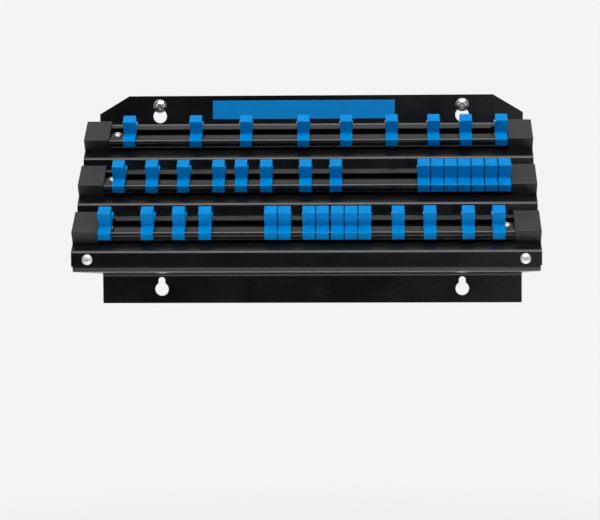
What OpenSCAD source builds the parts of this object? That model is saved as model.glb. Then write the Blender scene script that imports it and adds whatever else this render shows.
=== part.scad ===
// Wall-hung stepped organizer for square-drive sockets.
// Millimetres. X runs along the rails, Y points into the wall, Z is up.
// The origin is on the wall plane, midway between the two upper hanging screws.

/* [Panel] */
// Width of the folded panel
panel_w = 355.6; // [340:0.1:400]
// Thickness of the folded sheets
sheet_t = 1.5; // [1:0.1:2]
// Inside radius of every fold
bend_r = 3; // [2:0.1:3.4]
// Top edge of the wall flange above the hanging screws
flange_top = 8.5; // [8:0.1:14]
// Drop of the deck surface below the hanging screws
deck_drop = 17.5; // [17:0.1:24]
// Depth of the deck from the wall to its front corner
deck_depth = 60.7; // [50:0.1:80]
// Slope of each shelf below horizontal
shelf_slope = 34; // [28:0.5:38]
// Horizontal run of each shelf
shelf_run = 33.7; // [33:0.1:38]
// Height of the riser below each shelf
riser_h = 11.3; // [9:0.1:16]
// Height of the front fascia below the last shelf corner
fascia_h = 11; // [10.5:0.1:16]
// Width of the cut corners of the wall flange
chamfer_w = 25; // [10:1:30]
// Height of the cut corners of the wall flange
chamfer_h = 15; // [8:1:18]

/* [Lower bracket] */
// Drop of the bracket's front fold below the last shelf corner
bracket_drop = 15.5; // [15:0.1:22]
// Drop of the bracket's wall fold below the last shelf corner
wall_fold_drop = 33.4; // [30:0.1:36]
// Height of the lower wall flange
lower_flange_h = 25.1; // [24.5:0.1:32]
// Radius of the bottom corners of the lower flange
lower_corner_r = 1; // [0.5:0.1:6]
// Amount by which each end of the bracket stands inside the panel
bracket_inset = 0.8; // [0.5:0.1:3]

/* [Hanging] */
// Distance between the two keyholes of each flange
hanging_span = 254; // [200:1:270]
// Distance between the upper and the lower hanging screws
hanging_drop = 147.6; // [147.2:0.1:150]
// Radius of the keyhole's entry circle
keyhole_r = 5.7; // [5:0.1:6]
// Half width of the keyhole's slot
slot_r = 2.9; // [2.75:0.05:3.2]
// Distance from the upper hanging screws to their entry circles
keyhole_drop = 8.5; // [7.5:0.1:8.6]
// Distance from the lower hanging screws to their entry circles
lower_keyhole_drop = 7.3; // [7:0.1:8.6]
// Diameter of the wall screw's head
wall_head_d = 11.2; // [10:0.1:11.4]
// Height of the wall screw's head
wall_head_h = 3.4; // [2.5:0.1:4]
// Diameter of the wall screw's shank
wall_shank_d = 4.8; // [4:0.1:5]
// Length of the wall screw behind the wall plane
wall_shank_l = 20; // [10:1:30]
// Stand-out of the plain neck under the wall screw's head beyond its shank
wall_neck_out = 0.2; // [0.1:0.05:0.2]
// Reach of the wall screw's neck behind the wall plane
wall_neck_l = 0.5; // [0.3:0.1:1]

/* [Label plate] */
// Width of the bare label plate
label_w = 153; // [100:1:180]
// Height of the label plate
label_h = 15.6; // [12:0.1:17]
// Thickness of the label plate
label_t = 0.4; // [0.3:0.1:0.8]
// Offset of the label's centre from the panel's centre
label_x = -5.9; // [-12:0.1:12]
// Height of the label's centre
label_z = -3.4; // [-4.5:0.1:-3]

/* [Rails] */
// Width of the socket rail
rail_w = 24; // [22:0.1:24.6]
// Height of the rail channel
rail_h = 6.15; // [6:0.05:7]
// Sheet thickness of the rail channel
rail_t = 1.2; // [0.8:0.05:1.3]
// Width of the slot in the top of the rail
rail_slot_w = 8.2; // [8:0.1:9]
// Outside radius of the rail's long top corners
rail_corner_r = 3; // [2:0.1:3]
// Thickness of the foot along each side of the rail
foot_t = 0.6; // [0.4:0.05:0.7]
// Stand-out of the foot beyond the rail's side
foot_out = 0.7; // [0.3:0.1:0.9]
// Distance of the rail's centre line from the shelf's rear corner, along the slope
rail_u = 17.4; // [16:0.1:19]
// Width of the loading notch at each end of the slot
notch_w = 13; // [12:0.1:14]
// Distance of the rail screws from the panel's side edges
rail_screw_inset = 25.4; // [24.8:0.1:27.8]
// Distance from a rail screw to the notch's inner end
notch_in = 6.4; // [5.4:0.1:9]

/* [End caps] */
// Length of the end cap along the rail
cap_len = 19.8; // [14:0.1:20.5]
// Side wall of the end cap
cap_side = 1; // [0.8:0.05:1.4]
// Top wall of the end cap
cap_top = 2.1; // [1:0.05:2.4]
// Floor of the end cap, which carries the rail above the shelf
cap_floor = 2.4; // [2.2:0.05:3]
// End wall of the end cap
cap_end = 1.6; // [1.2:0.1:2.4]
// Radius of the end cap's long top corners
cap_corner_r = 1.1; // [0.5:0.1:1.6]
// Clearance between the end cap and the rail
cap_fit = 0.15; // [0.1:0.05:0.3]
// Thickness of the cap's screw tongue inside the rail
tongue_t = 1.6; // [1.2:0.1:1.8]
// Width of the cap's screw tongue
tongue_w = 9.3; // [9:0.1:10]

/* [Sliding clips] */
// Width of a clip along the rail
clip_w = 9.5; // [9:0.1:9.8]
// Side of the square drive stud
stud_w = 9.5; // [9:0.1:9.8]
// Height of the stud above the clip's base
stud_h = 11.8; // [10:0.1:13]
// Thickness of the clip's base plate
base_t = 1.3; // [1:0.1:1.6]
// Thickness of the clip's front and rear skirts
skirt_t = 1.4; // [1:0.1:1.6]
// Clearance between the skirts and the rail's foot
skirt_gap = 0.5; // [0.2:0.1:0.8]
// Clearance between a clip and the rail
clip_fit = 0.2; // [0.15:0.05:0.3]
// Clearance below the rail's lips
hook_fit = 0.15; // [0.1:0.05:0.3]
// Radius of the clip's front and rear top corners
clip_corner_r = 0.9; // [0.5:0.1:1.2]
// Radius of the detent ball
ball_r = 1.5; // [1.2:0.1:1.8]
// Depth of the ball's centre below the stud's end
ball_drop = 4.5; // [4:0.1:5.5]
// Stand-out of a free detent ball
ball_out = 0.8; // [0.4:0.1:1]
// Stand-out of the ramp on the clip's right side
ramp_out = 0.6; // [0.3:0.1:0.7]
// Width of the ramp across the rail
ramp_w = 3; // [2:0.1:4]
// Length of the ramp's lower slope
ramp_rise = 3; // [2:0.1:4]
// Length of the ramp's crest, level with the ball
ramp_crest = 0.8; // [0.4:0.1:1.2]
// Length of the ramp's upper slope
ramp_fall = 0.7; // [0.4:0.1:1.2]

/* [Fasteners] */
// Thread diameter of the rail screws
rail_screw_d = 3; // [2.5:0.1:3.2]
// Head diameter of the rail screws
rail_head_d = 6; // [5.4:0.1:6]
// Head height of the rail screws
rail_head_h = 2.2; // [1.6:0.1:2.3]
// Length of the rail screws below the sheet
rail_screw_out = 3.6; // [2.6:0.1:5]
// Width across flats of the rail screws' nuts
rail_nut_w = 5.5; // [5.2:0.1:6]
// Height of the rail screws' nuts
rail_nut_h = 2.4; // [2:0.1:2.6]
// Outside diameter of the rail screws' washers
washer_d = 9; // [7:0.1:9.2]
// Thickness of the washers
washer_t = 0.8; // [0.5:0.1:0.9]
// Thread diameter of the corner screws
corner_screw_d = 4; // [3:0.1:4.4]
// Head diameter of the corner screws
corner_head_d = 8; // [6:0.1:8.2]
// Head height of the corner screws
corner_head_h = 2.8; // [2:0.1:3.2]
// Length of the corner screws under the head
corner_screw_l = 10; // [8:0.5:12]
// Width across flats of the corner screws' nuts
corner_nut_w = 7; // [6.8:0.1:8]
// Height of the corner screws' nuts
corner_nut_h = 3.2; // [2.4:0.1:3.4]
// Distance of the corner screws from the panel's side edges
corner_inset = 12.3; // [9:0.1:16]
// Height of the corner screws above the fascia's bottom edge
corner_up = 5.2; // [5:0.1:6]

/* [Hidden] */
$fn = 48;
touch = 0.01;
fold_step = 7.5;
hole_fit = 0.4;
rows = 3;
drop = shelf_run * tan(shelf_slope);
row_pitch = drop + riser_h;
front_depth = deck_depth + rows * shelf_run;
front_z = -deck_drop - rows * drop - (rows - 1) * riser_h;
fascia_bottom = front_z - fascia_h;
screw_z = fascia_bottom + corner_up;
leg_top = front_z - 0.9 * bend_r;
bracket_w = panel_w - 2 * bracket_inset;
wall_fold_z = front_z - wall_fold_drop;
lower_bottom = wall_fold_z - lower_flange_h;
rail_top = cap_floor + rail_h;
rail_end = panel_w / 2 - cap_end;
cap_x = panel_w / 2 - cap_len;
rail_screw_x = panel_w / 2 - rail_screw_inset;
notch_x = rail_screw_x - notch_in;
foot_end = cap_x - 0.3;
cap_half = rail_w / 2 + cap_fit + cap_side;
cap_height = rail_top + cap_fit + cap_top;
floor_z = cap_floor + rail_t;
seat_z = floor_z + tongue_t;
head_z = seat_z + washer_t;
lip_z = rail_top - rail_t;
base_z = rail_top + clip_fit;
clip_half = rail_w / 2 + clip_fit + skirt_t;
skirt_z = cap_floor + foot_t + skirt_gap;
stud_z = base_z + base_t;
stud_end = stud_z + stud_h;
hook_z = head_z + hook_fit + 0.05;
leg_in = rail_head_d / 2 + clip_fit;
leg_out = rail_slot_w / 2 - clip_fit;
hook_out = leg_out + 1.5;
ball_z = stud_end - ball_drop;
bore_r = ball_r + 0.05;
bore_depth = 7.6;
spring_r = 1.35;
spring_wall = 0.4;

// Distance of each clip's centre from the panel's centre, row by row: free clips
// as shares of the outermost place, close-packed ones a packed pitch apart.
clip_reach = cap_x - 0.25 - clip_w / 2;
pack = clip_w + ramp_out + 0.3;
pair_gap = 0.8;
mid_pack_count = 7;
top_x = clip_reach * [-0.9281, -0.5817, -0.3203, -0.0229, 0.1993, 0.4346, 0.6503, 0.817, 1];
mid_free_x = clip_reach * [-0.9575, -0.7876, -0.6275, -0.4477, -0.3333, -0.2059, -0.0065, 0.1471];
mid_pack_x = [for (i = [mid_pack_count - 1:-1:0]) clip_reach - i * pack];
mid_x = concat(mid_free_x, mid_pack_x);
low_left_x = clip_reach * [-1, -0.7876, -0.6307, -0.5];
low_right_x = clip_reach * [0.4575, 0.6144, 0.8039, 0.9542];
low_pair = clip_reach * -0.1732;
low_two = clip_reach * 0.0157;
low_three = low_two + 2 * pack + pair_gap;
low_pack_x = [low_pair, low_pair + pack, low_two, low_two + pack,
              low_three, low_three + pack, low_three + 2 * pack];
low_x = concat(low_left_x, low_pack_x, low_right_x);
clip_rows = [top_x, mid_x, low_x];
row_names = ["top", "middle", "lower"];

fixed_nodes = ["stepped_panel", "lower_bracket", "label_plate",
               "top_rail", "middle_rail", "lower_rail",
               "top_cap_left", "top_cap_right", "middle_cap_left", "middle_cap_right",
               "lower_cap_left", "lower_cap_right",
               "rail_screws", "rail_washers", "rail_nuts",
               "corner_screws", "corner_nuts", "wall_screws"];

function clip_name(r, i) = str(row_names[r], "_clip_", i + 1);

// A clip's ball is pressed in where the next clip on its left stands close.
function ball_pressed(r, i) =
    i > 0 && clip_rows[r][i] - clip_rows[r][i - 1] < clip_w + ramp_out + ball_out + 0.2;

function unit(v) = v / norm(v);
function turn(a, b) = acos(max(-1, min(1, a * b)));

// Height of the middle of the sheet under shelf number n at a depth from the wall.
function shelf_mid_z(n, depth) =
    -deck_drop - n * row_pitch - (depth - deck_depth - n * shelf_run) * tan(shelf_slope)
    - sheet_t / 2 / cos(shelf_slope);

// Corners of the panel's middle line, as [y, z], from the wall flange to the fascia.
function panel_path() =
    let (half = sheet_t / 2,
         deck_corner = deck_depth - half * (1 / cos(shelf_slope) - 1) / tan(shelf_slope))
    concat(
        [[-half, flange_top], [-half, -deck_drop - half], [-deck_corner, -deck_drop - half]],
        [for (n = [0:rows - 1]) for (low = [0, 1])
            let (depth = deck_depth + (n + 1) * shelf_run - half)
            if (n < rows - 1 || low == 0) [-depth, shelf_mid_z(n + low, depth)]],
        [[half - front_depth, fascia_bottom]]);

// Corners of the lower bracket's middle line, as [y, z].
function bracket_path() =
    let (leg_y = 1.5 * sheet_t - front_depth)
    [[leg_y, leg_top],
     [leg_y, front_z - bracket_drop + sheet_t / 2],
     [-sheet_t / 2, wall_fold_z + sheet_t / 2],
     [-sheet_t / 2, lower_bottom]];

// Direction of the segment that starts at corner i of a path.
function heading(path, i) = unit(path[i + 1] - path[i]);

// Left-hand normal of a direction.
function left(v) = [-v[1], v[0]];

// Point on a circle about a centre, turned by an angle from a starting point.
function turned(centre, start, radius, angle) =
    let (v = unit(start - centre))
    centre + radius * [v[0] * cos(angle) - v[1] * sin(angle), v[0] * sin(angle) + v[1] * cos(angle)];

// Arc of the fold at corner i, on the left (side = 1) or the right (side = -1) of the path.
function fold_arc(path, i, side) =
    let (a = heading(path, i - 1),
         b = heading(path, i),
         way = left(a) * b > 0 ? 1 : -1,
         angle = turn(a, b),
         mid_r = bend_r + sheet_t / 2,
         centre = path[i] + unit(b - a) * mid_r / cos(angle / 2),
         start = path[i] - a * mid_r * tan(angle / 2),
         steps = ceil(angle / fold_step))
    [for (k = [0:steps]) turned(centre, start, mid_r - side * way * sheet_t / 2, way * angle * k / steps)];

// One side of the sheet along the whole path.
function sheet_side(path, side) =
    let (last = len(path) - 1)
    concat([path[0] + left(heading(path, 0)) * side * sheet_t / 2],
           [for (i = [1:last - 1]) for (p = fold_arc(path, i, side)) p],
           [path[last] + left(heading(path, last - 1)) * side * sheet_t / 2]);

function backwards(list) = [for (i = [len(list) - 1:-1:0]) list[i]];

// A sheet folded along a path in the Y-Z plane and as wide as width along X.
module folded_sheet(path, width) {
    rotate([90, 0, 90]) linear_extrude(height = width, center = true)
        polygon(concat(sheet_side(path, 1), backwards(sheet_side(path, -1))));
}

// Places children on shelf number n: X along the rail, Y up the slope, Z off the shelf.
module on_shelf(n) {
    depth = deck_depth + n * shelf_run + rail_u * cos(shelf_slope);
    height = -deck_drop - n * row_pitch - rail_u * sin(shelf_slope);
    translate([0, -depth, height]) rotate([shelf_slope, 0, 0]) children();
}

module at_sides(x) {
    for (side = [-1, 1]) translate([side * x, 0, 0]) children();
}

// Keyhole through a sheet on the wall: slot centre at the origin, entry circle below.
module keyhole(entry_drop) {
    rotate([90, 0, 0]) {
        translate([0, 0, -sheet_t]) {
            cylinder(r = slot_r, h = 3 * sheet_t);
            translate([0, -entry_drop, 0]) cylinder(r = keyhole_r, h = 3 * sheet_t);
            translate([-slot_r, -entry_drop, 0]) cube([2 * slot_r, entry_drop, 3 * sheet_t]);
        }
    }
}

// Cross recess, mouth at z = 0 and pointing down.
module cross_recess(size) {
    for (a = [0, 90]) rotate(a) translate([-size / 2, -size / 8, -size * 0.42])
        cube([size, size / 4, size * 0.42 + 1]);
}

// Pan-head screw, seat of the head at z = 0, shank down.
module pan_screw(head_d, head_h, shank_d, length) {
    dome_r = (head_d * head_d / 4 + head_h * head_h) / (2 * head_h) * 1.18;
    difference() {
        union() {
            intersection() {
                cylinder(d = head_d, h = head_h);
                translate([0, 0, head_h - dome_r]) sphere(r = dome_r, $fn = 64);
            }
            translate([0, 0, -length]) cylinder(d = shank_d, h = length + touch);
        }
        translate([0, 0, head_h]) cross_recess(head_d * 0.55);
    }
}

// Hexagon nut with its upper face at z = 0.
module nut(across_flats, height, thread_d) {
    translate([0, 0, -height]) difference() {
        cylinder(d = across_flats / cos(30), h = height, $fn = 6);
        translate([0, 0, -1]) cylinder(d = thread_d + 0.1, h = height + 2);
    }
}

module stepped_panel() {
    color("#17171a") difference() {
        folded_sheet(panel_path(), panel_w);
        at_sides(hanging_span / 2) keyhole(keyhole_drop);
        for (side = [-1, 1]) scale([side, 1, 1])
            rotate([90, 0, 0]) translate([0, 0, -1]) linear_extrude(height = 2 * sheet_t + 1)
                polygon([[panel_w / 2 - chamfer_w, flange_top + touch],
                         [panel_w / 2 + chamfer_w, flange_top + chamfer_h],
                         [panel_w / 2 + touch, flange_top - chamfer_h]]);
        for (n = [0:rows - 1]) on_shelf(n) at_sides(rail_screw_x)
            translate([0, 0, -2 * sheet_t]) cylinder(d = rail_screw_d + hole_fit, h = 3 * sheet_t);
        at_sides(panel_w / 2 - corner_inset) translate([0, -front_depth, screw_z])
            rotate([90, 0, 0]) translate([0, 0, -2 * sheet_t])
                cylinder(d = corner_screw_d + hole_fit, h = 3 * sheet_t);
    }
}

// Rounds a bottom corner of the lower flange; its rounding starts at the origin.
module corner_cut(r) {
    rotate([90, 0, 0]) translate([0, 0, -1]) linear_extrude(height = sheet_t + 2) difference() {
        translate([0, -1]) square([r + 1, r + 1]);
        translate([0, r]) circle(r = r);
    }
}

module lower_bracket() {
    color("#121214") difference() {
        folded_sheet(bracket_path(), bracket_w);
        at_sides(hanging_span / 2) translate([0, 0, -hanging_drop]) keyhole(lower_keyhole_drop);
        for (side = [-1, 1]) scale([side, 1, 1])
            translate([bracket_w / 2 - lower_corner_r, 0, lower_bottom]) corner_cut(lower_corner_r);
        at_sides(panel_w / 2 - corner_inset) translate([0, -front_depth + 2 * sheet_t, screw_z])
            rotate([90, 0, 0]) translate([0, 0, -sheet_t])
                cylinder(d = corner_screw_d + hole_fit, h = 3 * sheet_t);
    }
}

module label_plate() {
    color("#0071bc") translate([label_x - label_w / 2, -sheet_t - label_t, label_z - label_h / 2])
        cube([label_w, label_t, label_h]);
}

// Flat outline that stands on y = 0, square at the bottom and rounded at the top.
module arch(width, height, r) {
    translate([-width / 2, 0]) square([width, height - r]);
    translate([r - width / 2, 0]) square([width - 2 * r, height]);
    for (side = [-1, 1]) translate([side * (width / 2 - r), height - r]) circle(r = r);
}

// Runs a flat Y-Z outline along X from x0 to x1.
module along(x0, x1) {
    translate([x0, 0, 0]) rotate([90, 0, 90]) linear_extrude(height = x1 - x0) children();
}

module rail(n) {
    color("#1c1c1e") on_shelf(n) difference() {
        union() {
            along(-rail_end, rail_end) translate([0, cap_floor]) difference() {
                arch(rail_w, rail_h, rail_corner_r);
                translate([0, rail_t])
                    arch(rail_w - 2 * rail_t, rail_h - 2 * rail_t, rail_corner_r - rail_t);
                translate([-rail_slot_w / 2, rail_h / 2]) square([rail_slot_w, rail_h]);
            }
            along(-foot_end, foot_end) translate([-rail_w / 2 - foot_out, cap_floor])
                square([rail_w + 2 * foot_out, foot_t]);
        }
        for (side = [-1, 1]) scale([side, 1, 1])
            translate([notch_x, -notch_w / 2, (floor_z + lip_z) / 2])
                cube([rail_end, notch_w, rail_h]);
        at_sides(rail_screw_x) cylinder(d = rail_screw_d + hole_fit, h = floor_z + 1);
    }
}

// Right-hand end cap; the left one is its mirror image.
module end_cap(n, side) {
    color("#3e3e3c") on_shelf(n) scale([side, 1, 1]) difference() {
        union() {
            difference() {
                along(cap_x, panel_w / 2) arch(2 * cap_half, cap_height, cap_corner_r);
                along(cap_x - 1, rail_end) translate([0, cap_floor])
                    arch(rail_w + 2 * cap_fit, rail_h + cap_fit, rail_corner_r);
            }
            tongue(floor_z, tongue_t, panel_w / 2 - cap_end / 2);
            tongue(0, cap_floor, cap_x + 1);
        }
        translate([rail_screw_x, 0, -1]) cylinder(d = rail_screw_d + hole_fit, h = seat_z + 2);
    }
}

// Tongue of the cap that the rail screw passes through, round at the screw.
module tongue(z, thickness, x_end) {
    translate([rail_screw_x, 0, z]) cylinder(d = tongue_w, h = thickness);
    translate([rail_screw_x, -tongue_w / 2, z]) cube([x_end - rail_screw_x, tongue_w, thickness]);
}

// Outline of the clip's base and skirts across the rail.
module clip_outline() {
    r = clip_corner_r;
    inner = rail_w / 2 + clip_fit;
    difference() {
        union() {
            translate([-clip_half, skirt_z]) square([2 * clip_half, stud_z - r - skirt_z]);
            translate([r - clip_half, stud_z - 2 * r]) square([2 * (clip_half - r), 2 * r]);
            for (side = [-1, 1]) translate([side * (clip_half - r), stud_z - r]) circle(r = r);
        }
        translate([-inner, skirt_z - 1]) square([2 * inner, base_z - skirt_z + 1]);
    }
}

// Hooks that hold the clip under the rail's lips.
module clip_hooks() {
    for (side = [-1, 1]) scale([side, 1]) {
        translate([leg_in, hook_z]) square([leg_out - leg_in, base_z - hook_z + touch]);
        translate([leg_in, hook_z]) square([hook_out - leg_in, lip_z - hook_fit - hook_z]);
    }
}

// Ramp on the clip's right side, which holds the socket.
module ramp() {
    side = clip_w / 2;
    low = ball_z - ramp_crest / 2;
    high = ball_z + ramp_crest / 2;
    translate([0, ramp_w / 2, 0]) rotate([90, 0, 0]) linear_extrude(height = ramp_w)
        polygon([[side - touch, low - ramp_rise], [side + ramp_out, low],
                 [side + ramp_out, high], [side - touch, high + ramp_fall]]);
}

module sliding_clip(r, i) {
    ball_x = -clip_w / 2 - (ball_pressed(r, i) ? 0.05 : ball_out) + ball_r;
    bore_end = bore_depth - clip_w / 2;
    on_shelf(r) translate([clip_rows[r][i], 0, 0]) {
        color("#0a7fdc") difference() {
            union() {
                along(-clip_w / 2, clip_w / 2) {
                    clip_outline();
                    clip_hooks();
                }
                translate([-clip_w / 2, -stud_w / 2, stud_z - touch])
                    cube([clip_w, stud_w, stud_h + touch]);
                ramp();
            }
            translate([-clip_w / 2 - 1, 0, ball_z]) rotate([0, 90, 0])
                cylinder(r = bore_r, h = bore_depth + 1);
        }
        color("#d8d8da") translate([ball_x, 0, ball_z]) sphere(r = ball_r);
        color("#9a9aa0") translate([ball_x + ball_r + 0.05, 0, ball_z]) rotate([0, 90, 0])
            difference() {
                cylinder(r = spring_r, h = bore_end - ball_x - ball_r - 0.1);
                translate([0, 0, -1]) cylinder(r = spring_r - spring_wall, h = bore_depth);
            }
    }
}

module rail_screws() {
    color("#d0d0d4") for (n = [0:rows - 1]) on_shelf(n) at_sides(rail_screw_x)
        translate([0, 0, head_z])
            pan_screw(rail_head_d, rail_head_h, rail_screw_d, head_z + sheet_t + rail_screw_out);
}

module rail_washers() {
    color("#b8b8bc") for (n = [0:rows - 1]) on_shelf(n) at_sides(rail_screw_x)
        translate([0, 0, seat_z]) difference() {
            cylinder(d = washer_d, h = washer_t);
            translate([0, 0, -1]) cylinder(d = rail_screw_d + 0.2, h = washer_t + 2);
        }
}

module rail_nuts() {
    color("#b0b0b4") for (n = [0:rows - 1]) on_shelf(n) at_sides(rail_screw_x)
        translate([0, 0, -sheet_t]) nut(rail_nut_w, rail_nut_h, rail_screw_d);
}

module corner_screws() {
    color("#d8d8dc") at_sides(panel_w / 2 - corner_inset) translate([0, -front_depth, screw_z])
        rotate([90, 0, 0])
            pan_screw(corner_head_d, corner_head_h, corner_screw_d, corner_screw_l);
}

module corner_nuts() {
    color("#b0b0b4") at_sides(panel_w / 2 - corner_inset)
        translate([0, 2 * sheet_t - front_depth, screw_z]) rotate([90, 0, 0])
            nut(corner_nut_w, corner_nut_h, corner_screw_d);
}

module wall_screws() {
    neck_l = sheet_t + wall_neck_l;
    color("#dcdce0") at_sides(hanging_span / 2) translate([0, -sheet_t, 0]) rotate([90, 0, 0]) {
        pan_screw(wall_head_d, wall_head_h, wall_shank_d, sheet_t + wall_shank_l);
        translate([0, 0, -neck_l])
            cylinder(d = wall_shank_d + 2 * wall_neck_out, h = neck_l + touch);
    }
}

stepped_panel();
lower_bracket();
label_plate();
rail(0);  // top_rail
rail(1);  // middle_rail
rail(2);  // lower_rail
end_cap(0, -1);  // top_cap_left
end_cap(0, 1);  // top_cap_right
end_cap(1, -1);  // middle_cap_left
end_cap(1, 1);  // middle_cap_right
end_cap(2, -1);  // lower_cap_left
end_cap(2, 1);  // lower_cap_right
rail_screws();
rail_washers();
rail_nuts();
corner_screws();
corner_nuts();
wall_screws();
for (r = [0:rows - 1]) for (i = [0:len(clip_rows[r]) - 1])
    sliding_clip(r, i);
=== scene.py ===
"""Dresses the wall-hung socket organizer and sets its studio.

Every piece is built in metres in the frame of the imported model: +X runs along the
rails to the viewer's right, +Y into the wall, +Z up, and the origin lies on the wall
plane midway between the two upper hanging screws.
"""

from __future__ import annotations

import logging
import math
from dataclasses import dataclass
from enum import Enum
from typing import Any, Iterable, Sequence, Union

import bmesh
import bpy
from mathutils import Matrix, Vector

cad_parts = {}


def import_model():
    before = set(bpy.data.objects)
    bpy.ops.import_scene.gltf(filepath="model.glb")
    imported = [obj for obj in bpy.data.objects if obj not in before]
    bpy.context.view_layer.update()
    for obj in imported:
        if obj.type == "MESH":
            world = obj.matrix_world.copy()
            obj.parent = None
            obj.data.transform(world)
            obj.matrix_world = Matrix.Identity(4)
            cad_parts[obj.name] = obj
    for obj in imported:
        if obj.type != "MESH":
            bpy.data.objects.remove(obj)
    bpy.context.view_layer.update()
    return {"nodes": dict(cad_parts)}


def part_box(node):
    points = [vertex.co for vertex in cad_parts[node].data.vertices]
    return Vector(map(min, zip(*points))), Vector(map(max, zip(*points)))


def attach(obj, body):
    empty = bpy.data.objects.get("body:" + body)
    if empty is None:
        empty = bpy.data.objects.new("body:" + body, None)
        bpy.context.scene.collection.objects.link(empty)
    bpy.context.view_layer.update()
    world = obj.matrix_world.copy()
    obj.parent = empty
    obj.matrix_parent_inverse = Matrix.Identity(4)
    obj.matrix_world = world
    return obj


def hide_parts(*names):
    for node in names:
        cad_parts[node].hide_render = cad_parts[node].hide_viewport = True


LOG = logging.getLogger("socket_organizer")
MM = 0.001
PHOTO_WIDTH = 600
PHOTO_HEIGHT = 520
FRAME_BODY = "frame"
WHITE = (1.0, 1.0, 1.0, 1.0)

Number = Union[float, "Value"]
Colour = tuple[float, float, float]
Triple = tuple[float, float, float]
Span = tuple[float, float]
BMesh, BMFace, BMVert = bmesh.types.BMesh, bmesh.types.BMFace, bmesh.types.BMVert


class Slot(Enum):
    """The record's material slots."""

    POWDER = "powder_coat"
    RAIL = "rail_finish"
    CAP = "cap_plastic"
    CLIP = "clip_plastic"
    LABEL = "label_blue"
    ZINC = "zinc"
    CHROME = "bright_chrome"


class Row(Enum):
    """The three rails, with the number of clips on each."""

    TOP = ("top", 9)
    MIDDLE = ("middle", 15)
    LOWER = ("lower", 15)

    @property
    def word(self) -> str:
        """The row's name in node names."""
        return self.value[0]

    @property
    def clips(self) -> int:
        """How many clips stand on the row's rail."""
        return self.value[1]

    @property
    def step(self) -> int:
        """The row's shelf number, counted from the wall."""
        return list(Row).index(self)


class Side(Enum):
    """The two ends of a rail."""

    LEFT = -1
    RIGHT = 1


# ---------------------------------------------------------------- shader tools


class Value:
    """A number-valued socket that Python's operators work on."""

    def __init__(self, tree: bpy.types.NodeTree, socket: bpy.types.NodeSocket) -> None:
        """Wraps a socket.

        Args:
            tree: The node tree that the socket is in.
            socket: An output socket that carries one number.
        """
        self.tree = tree
        self.socket = socket

    def _math(self, operation: str, first: Number, second: Number) -> Value:
        """Adds one Math node.

        Args:
            operation: The Math node's operation.
            first: The first term.
            second: The second term.

        Returns:
            The node's result.
        """
        node = self.tree.nodes.new("ShaderNodeMath")
        node.operation = operation
        for index, term in enumerate((first, second)):
            if isinstance(term, Value):
                self.tree.links.new(term.socket, node.inputs[index])
            else:
                node.inputs[index].default_value = term
        return Value(self.tree, node.outputs[0])

    def __add__(self, other: Number) -> Value:
        """This value plus another."""
        return self._math("ADD", self, other)

    __radd__ = __add__

    def __sub__(self, other: Number) -> Value:
        """This value less another."""
        return self._math("SUBTRACT", self, other)

    def __rsub__(self, other: Number) -> Value:
        """Another value less this one."""
        return self._math("SUBTRACT", other, self)

    def __mul__(self, other: Number) -> Value:
        """This value times another."""
        return self._math("MULTIPLY", self, other)

    __rmul__ = __mul__


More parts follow.
